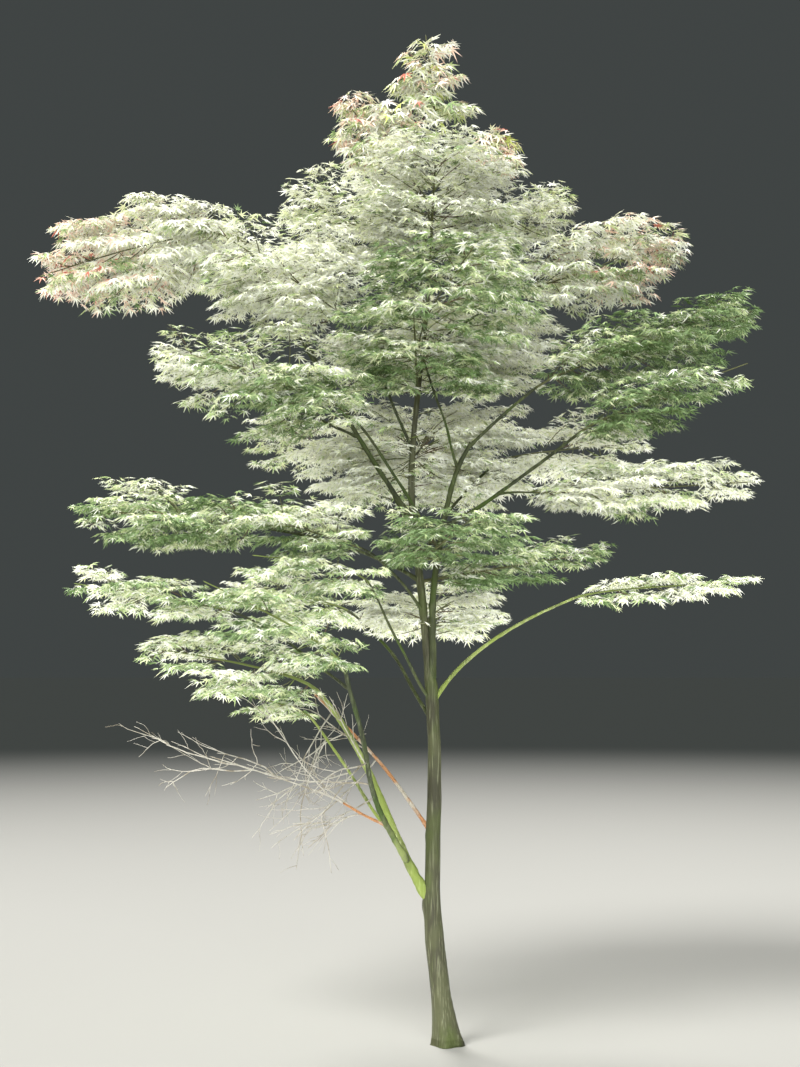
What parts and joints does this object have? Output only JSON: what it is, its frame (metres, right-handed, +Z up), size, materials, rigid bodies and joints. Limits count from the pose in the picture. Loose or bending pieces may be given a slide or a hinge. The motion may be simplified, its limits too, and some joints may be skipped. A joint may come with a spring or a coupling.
{
  "type": "japanese maple tree",
  "caption": "Whole variegated Japanese maple tree with a slender leaning trunk, wide boughs and flat cloud-like tiers of pale foliage.",
  "frame": {"origin": "centre of the flat cut under the trunk, at ground level", "axes": "+Z up along the tree's height, +X to the right of the picture's view, +Y away from the viewer"},
  "size_m": [3.1627, 2.127, 4.3941],
  "materials": {
    "trunk_bark": "smooth grey-green bark with pale upright streaks, moss and lenticels",
    "bough_bark": "smooth green bark, mossy on its upper side",
    "dead_wood": "dry orange-brown dead wood with loose bark",
    "dead_twigs": "weathered pale grey bare twigs",
    "leaf_white": "sunlit variegated leaves, mostly cream white with a little green, matte",
    "leaf_sage": "variegated leaves of the shaded tiers, sage green with pale margins, matte",
    "leaf_blush": "cream white young leaves with pink and red tips, matte"
  },
  "bodies": {
    "root": {"trunk": "trunk_bark", "bough_low_left": "bough_bark", "bough_low_dark": "bough_bark", "bough_low_thin": "bough_bark", "bough_low_outer": "bough_bark", "bough_inner_left": "bough_bark", "bough_low_right": "bough_bark", "bough_low_back": "bough_bark", "bough_left": "bough_bark", "bough_left_inner": "bough_bark", "bough_right_stem": "bough_bark", "bough_right_high": "bough_bark", "bough_upper_front": "bough_bark", "bough_right_mid": "bough_bark", "bough_right_tier": "bough_bark", "bough_front_left": "bough_bark", "bough_left_big": "bough_bark", "bough_upper_left": "bough_bark", "bough_mid_left": "bough_bark", "bough_upper_inner": "bough_bark", "bough_upper_right": "bough_bark", "bough_back_left": "bough_bark", "bough_back_right": "bough_bark", "bough_dead": "dead_wood", "bough_dead_side": "dead_wood", "leaves_low_left": "leaf_white", "leaves_low_front": "leaf_sage", "leaves_low_under": "leaf_white", "leaves_low_outer": "leaf_white", "leaves_inner_left": "leaf_sage", "leaves_low_right": "leaf_white", "leaves_low_back": "leaf_white", "leaves_left": "leaf_sage", "leaves_left_inner": "leaf_sage", "leaves_right_high": "leaf_sage", "leaves_upper_front": "leaf_sage", "leaves_right_mid": "leaf_sage", "leaves_right_tier": "leaf_white", "leaves_front_left": "leaf_sage", "leaves_upper_left": "leaf_blush", "leaves_upper_left_back": "leaf_white", "leaves_mid_left": "leaf_white", "leaves_upper_inner": "leaf_white", "leaves_upper_right": "leaf_blush", "leaves_back_left": "leaf_white", "leaves_back_right": "leaf_white", "leaves_back_low": "leaf_white", "leaves_front_low": "leaf_sage", "leaves_right_inner": "leaf_sage", "leaves_back_mid": "leaf_white", "leaves_back_high": "leaf_white", "leaves_front_mid": "leaf_sage", "leaves_top_left": "leaf_white", "leaves_top_right": "leaf_blush", "leaves_top_front": "leaf_white", "leaves_top_back": "leaf_white", "leaves_crest_left": "leaf_blush", "leaves_crest_right": "leaf_blush", "leaves_crest_tip": "leaf_blush", "twigs_dead": "dead_twigs"}
  },
  "joints": []
}
